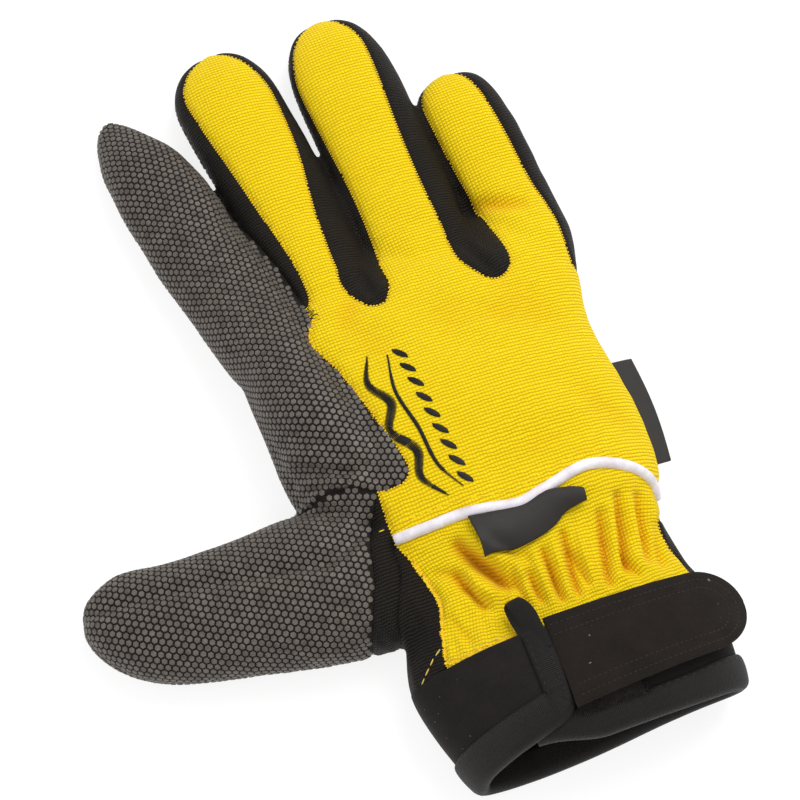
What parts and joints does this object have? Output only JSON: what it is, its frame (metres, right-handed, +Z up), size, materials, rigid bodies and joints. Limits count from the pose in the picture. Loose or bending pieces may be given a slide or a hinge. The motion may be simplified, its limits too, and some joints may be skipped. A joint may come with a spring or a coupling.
{
  "type": "fishing glove",
  "caption": "Right-hand fishing glove with a yellow stretch back, plated grip index finger, thumb and palm, gathered wrist and a hook-and-loop cuff strap",
  "frame": {"origin": "middle of the glove's footprint, on the surface it lies on", "axes": "+Y from the cuff to the fingertips, -X to the thumb, +Z up from the surface through the palm and out of the back"},
  "size_m": [0.1864, 0.262, 0.0383],
  "materials": {
    "yellow_fabric": "bright yellow ribbed stretch knit",
    "black_fabric": "black ribbed stretch knit",
    "grip_fabric": "charcoal cloth covered with raised grey hexagonal guard plates",
    "neoprene": "black fabric-faced neoprene",
    "tape": "black ribbed binding tape",
    "strap_fabric": "black brushed hook-and-loop fabric",
    "piping": "white round piping with a soft sheen",
    "label": "dark woven tape"
  },
  "bodies": {
    "root": {"back_panel": "yellow_fabric", "wrist_panel": "yellow_fabric", "piping": "piping", "index_back": "grip_fabric", "index_front": "grip_fabric", "thumb_back": "grip_fabric", "thumb_front": "grip_fabric", "palm_panel": "grip_fabric", "fourchette_index_middle": "black_fabric", "fourchette_middle_ring": "black_fabric", "fourchette_ring_little": "black_fabric", "side_little": "black_fabric", "thumb_gusset": "black_fabric", "wrist_side": "black_fabric", "cuff": "neoprene", "rim_binding": "tape", "flap_binding": "tape", "loop_patch": "strap_fabric", "strap": "strap_fabric", "wrist_label": "label", "side_label": "label"}
  },
  "joints": []
}
